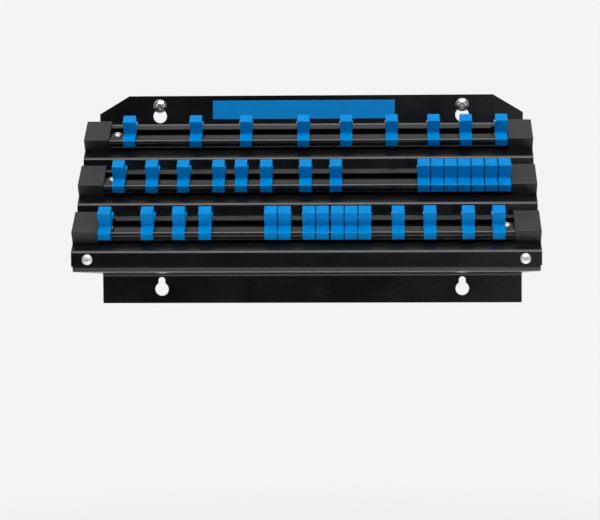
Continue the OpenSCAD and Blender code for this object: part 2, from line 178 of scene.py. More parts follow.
class Shader:
    """The node tree of one material or of the world."""

    def __init__(self, name: str, owner: bpy.types.ID | None = None) -> None:
        """Starts an empty node tree.

        Args:
            name: The material's name.
            owner: A world to fill in place of a new material.
        """
        self.owner = owner or bpy.data.materials.new(name)
        self.owner.use_nodes = True
        self.tree = self.owner.node_tree
        self.tree.nodes.clear()

    def node(
        self,
        kind: str,
        settings: dict[str, Any] | None = None,
        sockets: dict[int | str, Any] | None = None,
    ) -> bpy.types.Node:
        """Makes any node.

        Args:
            kind: The node's type.
            settings: Its settings by name, which are set first. A list of stops
                under "stops" goes into a colour ramp.
            sockets: Values or links of its inputs, by name or number.

        Returns:
            The new node.
        """
        made = self.tree.nodes.new(kind)
        for name, setting in (settings or {}).items():
            if name == "stops":
                self._set_stops(made.color_ramp, setting)
            else:
                setattr(made, name, setting)
        for key, value in (sockets or {}).items():
            source = value.socket if isinstance(value, Value) else value
            if isinstance(source, bpy.types.NodeSocket):
                self.tree.links.new(source, made.inputs[key])
            else:
                made.inputs[key].default_value = source
        return made

    @staticmethod
    def _set_stops(ramp: bpy.types.ColorRamp, stops: Sequence[tuple[float, float]]) -> None:
        """Gives a ramp its grey stops.

        Args:
            ramp: The ramp to fill.
            stops: Place and brightness of each stop, in order.
        """
        while len(ramp.elements) < len(stops):
            ramp.elements.new(1.0)
        for element, (place, level) in zip(ramp.elements, stops):
            element.position = place
            element.color = (level, level, level, 1.0)

    def value(self, node: bpy.types.Node, output: int | str = 0) -> Value:
        """One output of a node as a value."""
        return Value(self.tree, node.outputs[output])

    def place(self, stretch: Triple = (1.0, 1.0, 1.0)) -> bpy.types.NodeSocket:
        """Coordinates in the model's frame.

        Args:
            stretch: Factor on each axis; a small one makes a pattern long.

        Returns:
            The coordinate socket.
        """
        source = self.node("ShaderNodeTexCoord").outputs["Object"]
        scaled = self.node("ShaderNodeVectorMath", {"operation": "MULTIPLY"}, {0: source, 1: stretch})
        return scaled.outputs[0]

    def noise(self, size_mm: float, detail: float = 2.0, stretch: Triple = (1.0, 1.0, 1.0)) -> Value:
        """Soft noise.

        Args:
            size_mm: Size of its spots.
            detail: Octaves of finer noise on top.
            stretch: Factor on each axis.

        Returns:
            The noise, mostly from 0.3 to 0.7.
        """
        made = self.node(
            "ShaderNodeTexNoise",
            None,
            {"Vector": self.place(stretch), "Scale": 1.0 / (size_mm * MM), "Detail": detail},
        )
        return self.value(made)

    def mask(self, source: Value, span: Span) -> Value:
        """Turns a value into a mask.

        Args:
            source: The value.
            span: Levels that become 0 and 1.

        Returns:
            The mask, from 0 to 1.
        """
        low, high = span
        made = self.node("ShaderNodeValToRGB", {"stops": [(low, 0.0), (high, 1.0)]}, {0: source})
        return self.value(made)

    def blend(self, factor: Value, first: Colour, second: Colour) -> bpy.types.NodeSocket:
        """Mixes two colours.

        Args:
            factor: Share of the second colour.
            first: Colour at factor 0.
            second: Colour at factor 1.

        Returns:
            The mixed colour's socket.
        """
        made = self.node(
            "ShaderNodeMix",
            {"data_type": "RGBA"},
            {0: factor, 6: (*first, 1.0), 7: (*second, 1.0)},
        )
        return made.outputs[2]

    def background_rays(self) -> Value:
        """1 for the rays that see the white background: the camera's, mirrored and clear ones."""
        path = self.node("ShaderNodeLightPath")
        names = ("Is Camera Ray", "Is Glossy Ray", "Is Transmission Ray")
        seen, mirrored, clear = (self.value(path, name) for name in names)
        return self.value(
            self.node("ShaderNodeMath", {"operation": "MINIMUM"}, {0: seen + mirrored + clear, 1: 1.0})
        )

    def relief(self, height: Value, depth_mm: float, strength: float = 1.0) -> bpy.types.NodeSocket:
        """Bump.

        Args:
            height: Height from 0 to 1.
            depth_mm: Height of 1 on the surface.
            strength: Share of the bump that shows.

        Returns:
            The normal's socket.
        """
        made = self.node(
            "ShaderNodeBump", None, {"Strength": strength, "Distance": depth_mm * MM, "Height": height}
        )
        return made.outputs["Normal"]

    def finish(self, sockets: dict[str, Any]) -> bpy.types.Material:
        """Closes the tree with a principled shader.

        Args:
            sockets: Values or links of the shader's sockets.

        Returns:
            The finished material.
        """
        surface = self.node("ShaderNodeBsdfPrincipled", None, sockets)
        self.node("ShaderNodeOutputMaterial", None, {"Surface": surface.outputs[0]})
        return self.owner


# -------------------------------------------------------------------- finishes


@dataclass(frozen=True)
class PowderCoat:
    """Satin black powder coat with a fine orange peel and faint handling clouds."""

    name: str = "satin_powder_coat"
    colour: Colour = (0.0030, 0.0030, 0.0033)
    handled: Colour = (0.0055, 0.0055, 0.0060)
    roughness: float = 0.24
    cloud_mm: float = 46.0
    cloud_span: Span = (0.38, 0.66)
    cloud_share: float = 0.6
    cloud_rough: float = 0.06
    scuff_mm: float = 9.0
    scuff_stretch: Triple = (0.35, 1.0, 1.0)
    scuff_span: Span = (0.56, 0.74)
    scuff_rough: float = 0.05
    peel_mm: float = 1.5
    peel_share: float = 0.75
    grain_mm: float = 0.35
    depth_mm: float = 0.010

    def material(self) -> bpy.types.Material:
        """Builds the material."""
        shader = Shader(self.name)
        clouds = shader.mask(shader.noise(self.cloud_mm, detail=4.0), self.cloud_span)
        marks = shader.noise(self.scuff_mm, detail=5.0, stretch=self.scuff_stretch)
        scuffs = shader.mask(marks, self.scuff_span)
        peel, grain = shader.noise(self.peel_mm), shader.noise(self.grain_mm)
        handling = clouds * self.cloud_share + scuffs * (1.0 - self.cloud_share)
        texture = peel * self.peel_share + grain * (1.0 - self.peel_share)
        return shader.finish(
            {
                "Base Color": shader.blend(handling, self.colour, self.handled),
                "Roughness": clouds * self.cloud_rough + scuffs * self.scuff_rough + self.roughness,
                "Normal": shader.relief(texture, self.depth_mm, strength=0.6),
            }
        )


@dataclass(frozen=True)
class RailPaint:
    """Black paint on rolled rail, with faint lines drawn out along the rail."""

    name: str = "rolled_rail_paint"
    colour: Colour = (0.0060, 0.0060, 0.0062)
    worn: Colour = (0.016, 0.016, 0.016)
    roughness: float = 0.21
    line_mm: float = 0.5
    line_stretch: Triple = (0.012, 1.0, 1.0)
    line_rough: float = 0.10
    line_depth_mm: float = 0.008
    rub_mm: float = 14.0
    rub_stretch: Triple = (0.5, 1.0, 1.0)
    rub_span: Span = (0.48, 0.72)
    rub_share: float = 0.5
    rub_rough: float = 0.06

    def material(self) -> bpy.types.Material:
        """Builds the material."""
        shader = Shader(self.name)
        lines = shader.noise(self.line_mm, detail=3.0, stretch=self.line_stretch)
        marks = shader.noise(self.rub_mm, detail=4.0, stretch=self.rub_stretch)
        rubbed = shader.mask(marks, self.rub_span)
        return shader.finish(
            {
                "Base Color": shader.blend(rubbed * self.rub_share, self.colour, self.worn),
                "Roughness": lines * self.line_rough + rubbed * self.rub_rough + self.roughness,
                "Normal": shader.relief(lines, self.line_depth_mm, strength=0.5),
            }
        )


@dataclass(frozen=True)
class CapPlastic:
    """Dark moulded plastic with a spark-eroded grain."""

    name: str = "grained_cap_plastic"
    colour: Colour = (0.0090, 0.0090, 0.0088)
    pale: Colour = (0.016, 0.016, 0.015)
    roughness: float = 0.46
    cloud_mm: float = 11.0
    cloud_span: Span = (0.40, 0.68)
    cloud_share: float = 0.5
    cloud_rough: float = 0.08
    grain_mm: float = 0.32
    grain_share: float = 0.3
    depth_mm: float = 0.03

    def material(self) -> bpy.types.Material:
        """Builds the material."""
        shader = Shader(self.name)
        grain = shader.noise(self.grain_mm, detail=3.0)
        clouds = shader.mask(shader.noise(self.cloud_mm, detail=4.0), self.cloud_span)
        paleness = clouds * self.cloud_share + grain * self.grain_share
        return shader.finish(
            {
                "Base Color": shader.blend(paleness, self.colour, self.pale),
                "Roughness": clouds * self.cloud_rough + self.roughness,
                "Normal": shader.relief(grain, self.depth_mm, strength=0.7),
            }
        )


@dataclass(frozen=True)
class SatinBlue:
    """Blue satin surface, with faint clouds and a fine grain."""

    name: str
    colour: Colour
    clouded: Colour
    roughness: float
    gloss: float
    cloud_mm: float
    cloud_span: Span
    cloud_rough: float
    grain_mm: float
    depth_mm: float

    def material(self) -> bpy.types.Material:
        """Builds the material."""
        shader = Shader(self.name)
        clouds = shader.mask(shader.noise(self.cloud_mm, detail=3.0), self.cloud_span)
        grain = shader.noise(self.grain_mm)
        return shader.finish(
            {
                "Base Color": shader.blend(clouds, self.colour, self.clouded),
                "Roughness": clouds * self.cloud_rough + self.roughness,
                "Specular IOR Level": self.gloss,
                "Normal": shader.relief(grain, self.depth_mm, strength=0.5),
            }
        )


@dataclass(frozen=True)
class PlatedMetal:
    """Plated metal: pale crystals on zinc, or nearly clear on chrome and steel."""

    name: str
    colour: Colour
    dull: Colour
    roughness: float
    spread: float
    crystal_mm: float
    metallic: float = 1.0
    crystal_span: Span = (0.36, 0.66)
    depth_mm: float = 0.004

    def material(self) -> bpy.types.Material:
        """Builds the material."""
        shader = Shader(self.name)
        crystals = shader.mask(shader.noise(self.crystal_mm, detail=3.0), self.crystal_span)
        return shader.finish(
            {
                "Base Color": shader.blend(crystals, self.colour, self.dull),
                "Metallic": self.metallic,
                "Roughness": crystals * self.spread + self.roughness,
                "Normal": shader.relief(crystals, self.depth_mm, strength=0.4),
            }
        )


@dataclass(frozen=True)
class StudioPaper:
    """Pale paper of the floor, which fades into the white room at its rim."""

    name: str = "studio_paper"
    colour: Colour = (0.86, 0.86, 0.855)
    fibre_shade: float = 0.985
    fibre_mm: float = 60.0
    fibre_span: Span = (0.3, 0.7)
    white: float = 0.90
    near_share: float = 0.62
    fade_from: float = 0.45
    fade_to: float = 1.35

    def material(self) -> bpy.types.Material:
        """Builds the material."""
        shader = Shader(self.name)
        fibre = shader.mask(shader.noise(self.fibre_mm, detail=3.0), self.fibre_span)
        shaded = tuple(c * self.fibre_shade for c in self.colour)
        paper = shader.node(
            "ShaderNodeBsdfPrincipled",
            None,
            {
                "Base Color": shader.blend(fibre, self.colour, shaded),
                "Roughness": 0.9,
                "Specular IOR Level": 0.1,
            },
        )
        glow = shader.node("ShaderNodeEmission", None, {"Color": WHITE, "Strength": self.white})
        reach = shader.node(
            "ShaderNodeVectorMath", {"operation": "LENGTH"}, {0: shader.place((1.0, 1.0, 0.0))}
        )
        far = shader.value(reach, "Value") * (1.0 / self.fade_to)
        rim = shader.mask(far, (self.fade_from / self.fade_to, 1.0))
        share = (rim * (1.0 - self.near_share) + self.near_share) * shader.background_rays()
        mixed = shader.node(
            "ShaderNodeMixShader", None, {0: share, 1: paper.outputs[0], 2: glow.outputs[0]}
        )
        shader.node("ShaderNodeOutputMaterial", None, {"Surface": mixed.outputs[0]})
        return shader.owner


CLIP_PLASTIC = SatinBlue(
    name="blue_clip_plastic",
    colour=(0.0, 0.225, 0.60),
    clouded=(0.0, 0.252, 0.66),
    roughness=0.22,
    gloss=0.05,
    cloud_mm=7.0,
    cloud_span=(0.36, 0.68),
    cloud_rough=0.06,
    grain_mm=0.4,
    depth_mm=0.012,
)
LABEL_PAINT = SatinBlue(
    name="label_satin_blue",
    colour=(0.0, 0.262, 0.700),
    clouded=(0.0, 0.242, 0.660),
    roughness=0.38,
    gloss=0.25,
    cloud_mm=18.0,
    cloud_span=(0.38, 0.66),
    cloud_rough=0.05,
    grain_mm=0.3,
    depth_mm=0.004,
)
ZINC = PlatedMetal(
    name="bright_zinc",
    colour=(0.90, 0.91, 0.92),
    dull=(0.80, 0.81, 0.83),
    roughness=0.48,
    spread=0.12,
    crystal_mm=0.5,
    metallic=0.85,
)
# Near-black metal for the rail washers' faces: painted shade for the shadowed recess around the rail
# screws; only the rims show zinc.
WASHER_PAINTED_SHADE = PlatedMetal(
    name="washer_painted_shade",
    colour=(0.060, 0.060, 0.062),
    dull=(0.035, 0.035, 0.036),
    roughness=0.32,
    spread=0.12,
    crystal_mm=0.6,
)
CHROME = PlatedMetal(
    name="bright_chrome_plate",
    colour=(0.90, 0.90, 0.91),
    dull=(0.85, 0.85, 0.86),
    roughness=0.20,
    spread=0.05,
    crystal_mm=1.2,
)
BALL_STEEL = PlatedMetal(
    name="polished_ball_steel",
    colour=(0.90, 0.90, 0.90),
    dull=(0.86, 0.86, 0.86),
    roughness=0.12,
    spread=0.04,
    crystal_mm=0.8,
)
SPRING_STEEL = PlatedMetal(
    name="spring_wire",
    colour=(0.55, 0.55, 0.56),
    dull=(0.45, 0.45, 0.46),
    roughness=0.25,
    spread=0.1,
    crystal_mm=0.3,
)


# ------------------------------------------------------------------ mesh tools


def new_object(
    name: str, mesh: bpy.types.Mesh, materials: Iterable[bpy.types.Material]
) -> bpy.types.Object:
    """Puts a mesh into the scene.

    Args:
        name: The object's name.
        mesh: Its mesh, in the model's frame.
        materials: Its materials, in the order of the mesh's material numbers.

    Returns:
        The new object.
    """
    made = bpy.data.objects.new(name, mesh)
    bpy.context.scene.collection.objects.link(made)
    for material in materials:
        mesh.materials.append(material)
    return made


def smooth(obj: bpy.types.Object, angle: float = 35.0) -> None:
    """Shades an object smooth up to an angle, with flat faces kept flat.

    Args:
        obj: The object.
        angle: Edges sharper than this, in degrees, stay sharp.
    """
    mesh = obj.data
    mesh.polygons.foreach_set("use_smooth", [True] * len(mesh.polygons))
    mesh.set_sharp_from_angle(angle=math.radians(angle))
    weighted = obj.modifiers.new("even_faces", "WEIGHTED_NORMAL")
    weighted.keep_sharp = True
    weighted.weight = 90


def soften(mesh: BMesh, radius: float, segments: int = 2, angle: float = 40.0) -> None:
    """Rounds every edge that is sharper than an angle.

    Args:
        mesh: The mesh to change.
        radius: Width of the rounding, in metres.
        segments: Faces across the rounding.
        angle: Least angle of a rounded edge, in degrees.
    """
    limit = math.radians(angle)
    sharp = [e for e in mesh.edges if len(e.link_faces) == 2 and e.calc_face_angle(0.0) > limit]
    bmesh.ops.bevel(
        mesh,
        geom=sharp,
        offset=radius,
        offset_type="OFFSET",
        segments=segments,
        profile=0.5,
        affect="EDGES",
        clamp_overlap=True,
    )


def islands(mesh: BMesh) -> list[list[BMVert]]:
    """The loose parts of a mesh, largest box first."""
    left = set(mesh.verts)
    found: list[list[BMVert]] = []
    while left:
        stack = [left.pop()]
        part = list(stack)
        while stack:
            vert = stack.pop()
            for edge in vert.link_edges:
                other = edge.other_vert(vert)
                if other in left:
                    left.remove(other)
                    part.append(other)
                    stack.append(other)
        found.append(part)

    def spread(part: list[BMVert]) -> float:
        """Diagonal of a part's box."""
        low = Vector([min(v.co[k] for v in part) for k in range(3)])
        high = Vector([max(v.co[k] for v in part) for k in range(3)])
        return (high - low).length

    return sorted(found, key=spread, reverse=True)


def ring(mesh: BMesh, radii: Sequence[float], height: float, turn: float = 0.0) -> list[BMVert]:
    """Adds a ring of corners about the Z axis.

    Args:
        mesh: The mesh to add to.
        radii: Distance of each corner from the axis.
        height: Height of the ring.
        turn: Angle of the first corner, in radians.

    Returns:
        The corners in order.
    """
    angles = [turn + 2.0 * math.pi * k / len(radii) for k in range(len(radii))]
    return [
        mesh.verts.new((radius * math.cos(a), radius * math.sin(a), height))
        for radius, a in zip(radii, angles)
    ]


def bridge(mesh: BMesh, low: list[BMVert], high: list[BMVert]) -> list[BMFace]:
    """Joins two rings of as many corners with faces.

    Args:
        mesh: The mesh to add to.
        low: The lower ring.
        high: The upper ring.

    Returns:
        The new faces.
    """
    low_next, high_next = low[1:] + low[:1], high[1:] + high[:1]
    return [mesh.faces.new(corners) for corners in zip(low, low_next, high_next, high)]


def lathe(mesh: BMesh, outline: Sequence[Span], turns: int) -> None:
    """Turns an outline about the Z axis.

    Args:
        mesh: The mesh to add to.
        outline: Radius and height of each point, from the bottom axis point to the
            top one, or a closed ring when the first and last points are equal.
        turns: Faces around the axis.
    """
    closed = outline[0] == outline[-1]
    points = outline[:-1] if closed else outline
    rings = [ring(mesh, [radius] * (turns if radius else 1), height) for radius, height in points]
    if closed:
        rings.append(rings[0])
    for low, high in zip(rings, rings[1:]):
        if len(low) == len(high):
            bridge(mesh, low, high)
            continue
        for k in range(turns):
            j = (k + 1) % turns
            mesh.faces.new([low[0], high[j], high[k]] if len(low) == 1 else [low[k], low[j], high[0]])


def carve(target: BMesh, cutter: BMesh) -> BMesh:
    """Cuts one mesh out of another.

    Args:
        target: The mesh to cut; it is freed.
        cutter: The mesh to take away; it is freed.

    Returns:
        The cut mesh.
    """
    made = []
    for name, source in (("target", target), ("cutter", cutter)):
        bmesh.ops.recalc_face_normals(source, faces=source.faces[:])
        mesh = bpy.data.meshes.new(name)
        source.to_mesh(mesh)
        source.free()
        made.append(new_object(name, mesh, ()))
    work, tool = made
    cut = work.modifiers.new("cut", "BOOLEAN")
    cut.operation = "DIFFERENCE"
    cut.solver = "EXACT"
    cut.object = tool
    bpy.context.view_layer.update()
    result = bpy.data.meshes.new_from_object(work.evaluated_get(bpy.context.evaluated_depsgraph_get()))
    out = bmesh.new()
    out.from_mesh(result)
    for obj in made:
        mesh = obj.data
        bpy.data.objects.remove(obj)
        bpy.data.meshes.remove(mesh)
    bpy.data.meshes.remove(result)
    return out


def to_piece(
    name: str,
    mesh: BMesh,
    materials: Iterable[bpy.types.Material],
    body: str,
    stands_for: str | None = None,
    angle: float = 35.0,
) -> bpy.types.Object:
    """Finishes a mesh as one piece of the organizer.

    Args:
        name: The piece's name.
        mesh: Its mesh; it is freed.
        materials: Its materials.
        body: The body that it rides on.
        stands_for: The CAD node that it replaces.
        angle: Edges sharper than this, in degrees, stay sharp.

    Returns:
        The piece.
    """
    data = bpy.data.meshes.new(name)
    mesh.to_mesh(data)
    mesh.free()
    piece = new_object(name, data, materials)
    smooth(piece, angle)
    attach(piece, body)
    if stands_for:
        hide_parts(stands_for)
    LOG.info("%s: %d faces, rides on %s", name, len(data.polygons), body)
    return piece


def packed_mesh(node: bpy.types.Object, weld: float = 0.001 * MM, flat: float = 0.6) -> BMesh:
    """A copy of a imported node's mesh, welded and with whole flat faces.

    Args:
        node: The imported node.
        weld: Corners closer than this become one, in metres.
        flat: Faces within this angle, in degrees, are merged.

    Returns:
        The copy.
    """
    mesh = bmesh.new()
    mesh.from_mesh(node.data)
    bmesh.ops.remove_doubles(mesh, verts=mesh.verts[:], dist=weld)
    bmesh.ops.dissolve_limit(
        mesh, angle_limit=math.radians(flat), verts=mesh.verts[:], edges=mesh.edges[:]
    )
    return mesh


# ---------------------------------------------------------------- sub-assemblies


@dataclass
class Shelves:
    """Where the three sloped shelves stand, in metres."""

    slope: float = math.radians(34.0)
    deck_drop: float = 17.5 * MM
    deck_depth: float = 60.7 * MM
    run: float = 33.7 * MM
    riser: float = 11.3 * MM
    rail_from_corner: float = 17.4 * MM

    def place(self, row: Row) -> Matrix:
        """The frame of a rail: X along it, Y up the slope, Z off the shelf.

        Args:
            row: The row.

        Returns:
            The matrix from the rail's frame to the model's.
        """
        depth = self.deck_depth + row.step * self.run + self.rail_from_corner * math.cos(self.slope)
        drop = self.run * math.tan(self.slope) + self.riser
        height = -self.deck_drop - row.step * drop - self.rail_from_corner * math.sin(self.slope)
        return Matrix.Translation((0.0, -depth, height)) @ Matrix.Rotation(self.slope, 4, "X")


@dataclass
class SheetMetal:
    """The folded panel, the bracket behind it and the bare label plate."""

    edge_radius: float = 0.30 * MM
    label_edge: float = 0.12 * MM
    label_angle: float = 25.0
    coat: PowderCoat = PowderCoat()
    label: SatinBlue = LABEL_PAINT

    def build(self, nodes: dict[str, bpy.types.Object]) -> None:
        """Builds and dresses the sheets.

        Args:
            nodes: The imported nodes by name.
        """
        coat = self.coat.material()
        for name in ("stepped_panel", "lower_bracket"):
            mesh = packed_mesh(nodes[name])
            soften(mesh, self.edge_radius)
            to_piece(name + "_coated", mesh, [coat], FRAME_BODY, name)
        mesh = packed_mesh(nodes["label_plate"])
        soften(mesh, self.label_edge, angle=self.label_angle)
        blue = [self.label.material()]
        to_piece("label_plate_bare", mesh, blue, FRAME_BODY, "label_plate")


@dataclass
class Rails:
    """The three slotted rails and their end caps."""

    rail_edge: float = 0.22 * MM
    cap_edge: float = 0.45 * MM
    paint: RailPaint = RailPaint()
    plastic: CapPlastic = CapPlastic()

    def build(self, nodes: dict[str, bpy.types.Object]) -> None:
        """Builds and dresses rails and caps.

        Args:
            nodes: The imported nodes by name.
        """
        paint, plastic = self.paint.material(), self.plastic.material()
        for row in Row:
            rail = f"{row.word}_rail"
            mesh = packed_mesh(nodes[rail])
            soften(mesh, self.rail_edge)
            to_piece(rail + "_painted", mesh, [paint], FRAME_BODY, rail)
            for side in Side:
                cap = f"{row.word}_cap_{side.name.lower()}"
                mesh = packed_mesh(nodes[cap])
                soften(mesh, self.cap_edge, 3)
                to_piece(cap + "_moulded", mesh, [plastic], FRAME_BODY, cap)


@dataclass
class Clips:
    """The sliding clips, each with a detent ball and its spring, in metres."""

    edge: float = 0.28 * MM
    foot_fillet: float = 0.9 * MM
    foot_height: float = 10.05 * MM
    foot_slack: float = 0.2 * MM
    inner_angle: float = 1.0
    half_width: float = 4.75 * MM
    ramp_out: float = 0.6 * MM
    ball_radius: float = 1.5 * MM
    ball_height: float = 17.35 * MM
    ball_turns: int = 24
    ball_rings: int = 14
    bore_end: float = 2.85 * MM
    coil_radius: float = 1.12 * MM
    wire_radius: float = 0.22 * MM
    wire_sides: int = 6
    coils: int = 5
    coil_steps: int = 14
    coil_gap: float = 0.05 * MM
    coil_end_gap: float = 0.06 * MM
    plastic: SatinBlue = CLIP_PLASTIC

    def build(self, nodes: dict[str, bpy.types.Object], shelves: Shelves) -> None:
        """Builds and dresses every clip.

        Args:
            nodes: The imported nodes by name.
            shelves: Where the rails stand.
        """
        plastic = self.plastic.material()
        steel = [BALL_STEEL.material(), SPRING_STEEL.material()]
        for row in Row:
            rail = shelves.place(row)
            for number in range(1, row.clips + 1):
                name = f"{row.word}_clip_{number}"
                self._moulding(name, nodes[name], rail, plastic)
                self._detent(name, rail, steel)

    def _moulding(
        self, name: str, node: bpy.types.Object, rail: Matrix, plastic: bpy.types.Material
    ) -> None:
        """The clip's plastic, with softened edges and a fillet at the stud's foot.

        Args:
            name: The clip's name.
            node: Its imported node.
            rail: The frame of the rail.
            plastic: Its material.
        """
        mesh = packed_mesh(node)
        for part in islands(mesh)[1:]:
            bmesh.ops.delete(mesh, geom=part, context="VERTS")
        self._fill_foot(mesh, rail)
        soften(mesh, self.edge, 3)
        to_piece(name + "_moulding", mesh, [plastic], name, name)

    def _fill_foot(self, mesh: BMesh, rail: Matrix) -> None:
        """Rounds the inner edges where the stud stands on the base.

        Args:
            mesh: The moulding.
            rail: The frame of the rail.
        """
        inverse = rail.inverted()
        heights = {vert: (inverse @ vert.co).z for vert in mesh.verts}
        inner = [
            edge
            for edge in mesh.edges
            if len(edge.link_faces) == 2
            and edge.calc_face_angle_signed(0.0) < -self.inner_angle
            and all(abs(heights[vert] - self.foot_height) < self.foot_slack for vert in edge.verts)
        ]
        bmesh.ops.bevel(
            mesh,
            geom=inner,
            offset=self.foot_fillet,
            offset_type="OFFSET",
            segments=3,
            profile=0.5,
            affect="EDGES",
        )

    def _detent(self, name: str, rail: Matrix, steel: list[bpy.types.Material]) -> None:
        """The ball and its coil spring.

        Args:
            name: The clip's name.
            rail: The frame of the rail.
            steel: Materials of the ball and of the wire.
        """
        low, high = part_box(name)
        centre = high.x - self.ramp_out - self.half_width
        ball_x = low.x + self.ball_radius
        mesh = bmesh.new()
        spot = rail @ Matrix.Translation((ball_x, 0.0, self.ball_height))
        bmesh.ops.create_uvsphere(
            mesh,
            u_segments=self.ball_turns,
            v_segments=self.ball_rings,
            radius=self.ball_radius,
            matrix=spot,
        )
        start = ball_x + self.ball_radius + self.coil_gap
        self._coil(mesh, rail, start, centre + self.bore_end - self.coil_end_gap)
        to_piece(name + "_detent", mesh, steel, name)

    def _coil(self, mesh: BMesh, rail: Matrix, start: float, end: float) -> None:
        """Adds the coil spring behind the ball.

        Args:
            mesh: The mesh to add to.
            rail: The frame of the rail.
            start: Where the coil starts along the rail.
            end: Where it ends.
        """
        sides, steps = self.wire_sides, self.coils * self.coil_steps
        start, end = start + self.wire_radius, end - self.wire_radius
        along = Vector((1.0, 0.0, 0.0))
        rings = []
        for k in range(steps + 1):
            share = k / steps
            a = 2.0 * math.pi * self.coils * share
            out = Vector((0.0, math.cos(a), math.sin(a)))
            centre = Vector((start + (end - start) * share, 0.0, self.ball_height))
            middle = centre + out * self.coil_radius
            turns = [2.0 * math.pi * j / sides for j in range(sides)]
            offsets = [out * math.cos(b) + along * math.sin(b) for b in turns]
            rings.append(
                [mesh.verts.new(rail @ (middle + offset * self.wire_radius)) for offset in offsets]
            )
        faces = [mesh.faces.new(list(reversed(rings[0]))), mesh.faces.new(rings[-1])]
        for low, high in zip(rings, rings[1:]):
            faces.extend(bridge(mesh, low, high))
        for face in faces:
            face.material_index = 1
        bmesh.ops.recalc_face_normals(mesh, faces=faces)


@dataclass(frozen=True)
class PanScrew:
    """One size of cross-head pan screw, in metres.

    The recess is written in shares of the head's width, and the thread in shares of
    its pitch.
    """

    head_d: float
    head_h: float
    shank_d: float
    length: float
    pitch: float
    turns: int = 48
    dome_flatness: float = 1.18
    dome_steps: int = 9
    rim: float = 0.1 * MM
    rim_gap: float = 0.02 * MM
    edge: float = 0.07 * MM
    edge_angle: float = 50.0
    recess_depth: float = 0.24
    recess_over: float = 0.5 * MM
    arm_low: tuple[float, float] = (0.1134, 0.0434)
    arm_high: tuple[float, float] = (0.3186, 0.0775)
    shank_sides: int = 24
    shank_rows: int = 6
    shank_rows_min: int = 8
    thread_depth: float = 0.42
    tip_length: float = 1.2
    shank_sink: float = 0.01 * MM

    def head(self) -> BMesh:
        """The domed head with its cross recess, seat at height 0."""
        half = self.head_d / 2
        dome_r = (half**2 + self.head_h**2) / (2 * self.head_h) * self.dome_flatness
        centre = self.head_h - dome_r
        shoulder = math.sqrt(max(0.0, dome_r**2 - half**2)) + centre
        outline = [(0.0, 0.0), (half - self.rim, 0.0), (half, self.rim)]
        outline.append((half, max(shoulder - self.rim_gap, 2 * self.rim)))
        edge = math.asin(min(1.0, half / dome_r))
        for k in range(1, self.dome_steps + 1):
            a = edge * (1 - k / self.dome_steps)
            radius = dome_r * math.sin(a) if k < self.dome_steps else 0.0
            outline.append((radius, centre + dome_r * math.cos(a)))
        mesh = bmesh.new()
        lathe(mesh, outline, self.turns)
        for quarter in (0.0, math.pi / 2):
            mesh = carve(mesh, self._recess_arm(quarter))
        return mesh

    def _recess_arm(self, quarter: float) -> BMesh:
        """One tapered arm of the cross that the driver enters.

        Args:
            quarter: The arm's angle about the screw's axis, in radians.

        Returns:
            The arm's mesh.
        """
        mesh = bmesh.new()
        turn = Matrix.Rotation(quarter, 3, "Z")
        bottom = self.head_h - self.head_d * self.recess_depth
        top = self.head_h + self.recess_over
        ends = []
        for height, shares in ((bottom, self.arm_low), (top, self.arm_high)):
            long, wide = (self.head_d * share for share in shares)
            spots = ((-long, -wide), (long, -wide), (long, wide), (-long, wide))
            ends.append([mesh.verts.new(turn @ Vector((x, y, height))) for x, y in spots])
        low, high = ends
        mesh.faces.new(list(reversed(low)))
        mesh.faces.new(high)
        bridge(mesh, low, high)
        return mesh

    def shank(self, mesh: BMesh) -> None:
        """Adds the threaded shank below the seat.

        Args:
            mesh: The mesh to add to.
        """
        around = self.shank_sides
        rows = max(self.shank_rows_min, int(self.length / self.pitch * self.shank_rows))
        depth = self.pitch * self.thread_depth
        rings = []
        for k in range(rows + 1):
            z = -self.length * k / rows
            tip = max(0.0, 1.0 - (self.length + z) / (self.tip_length * self.pitch)) * depth
            fade = min(1.0, -z / self.pitch)
            phases = [(z / self.pitch + j / around) % 1.0 for j in range(around)]
            teeth = [abs(phase - 0.5) * 2.0 for phase in phases]
            radii = [self.shank_d / 2 - depth * tooth * fade - tip for tooth in teeth]
            rings.append(ring(mesh, radii, z + self.shank_sink))
        mesh.faces.new(rings[0])
        mesh.faces.new(list(reversed(rings[-1])))
        for high, low in zip(rings, rings[1:]):
            bridge(mesh, low, high)

    def build(self) -> BMesh:
        """The whole screw, seat at height 0, head up."""
        mesh = self.head()
        soften(mesh, self.edge, angle=self.edge_angle)
        self.shank(mesh)
        return mesh


@dataclass(frozen=True)
class HexNut:
    """One size of hexagon nut, upper face at height 0, in metres."""

    across_flats: float
    height: float
    thread_d: float
    steps: int = 48
    bore_gap: float = 0.05 * MM
    mouth_share: float = 1.12
    mouth_depth: float = 0.3 * MM
    chamfer_share: float = 0.96
    chamfer_drop: float = 0.06

    def build(self) -> BMesh:
        """The nut with chamfered corners and bore mouths."""
        sixth = math.pi / 3
        angles = [2.0 * math.pi * k / self.steps for k in range(self.steps)]
        flat = self.across_flats / 2
        corners = [flat / math.cos((a + sixth / 2) % sixth - sixth / 2) for a in angles]
        chamfered = [min(corner, flat * self.chamfer_share) for corner in corners]
        bore = [self.thread_d / 2 + self.bore_gap] * self.steps
        mouth = [radius * self.mouth_share for radius in bore]
        drop, low = self.across_flats * self.chamfer_drop, -self.height
        profile = (
            (0.0, mouth),
            (0.0, chamfered),
            (-drop, corners),
            (low + drop, corners),
            (low, chamfered),
            (low, mouth),
            (low + self.mouth_depth, bore),
            (-self.mouth_depth, bore),
        )
        mesh = bmesh.new()
        rings = [ring(mesh, radii, height, sixth / 2) for height, radii in profile]
        for lower, upper in zip(rings, rings[1:] + rings[:1]):
            bridge(mesh, lower, upper)
        bmesh.ops.recalc_face_normals(mesh, faces=mesh.faces[:])
        return mesh


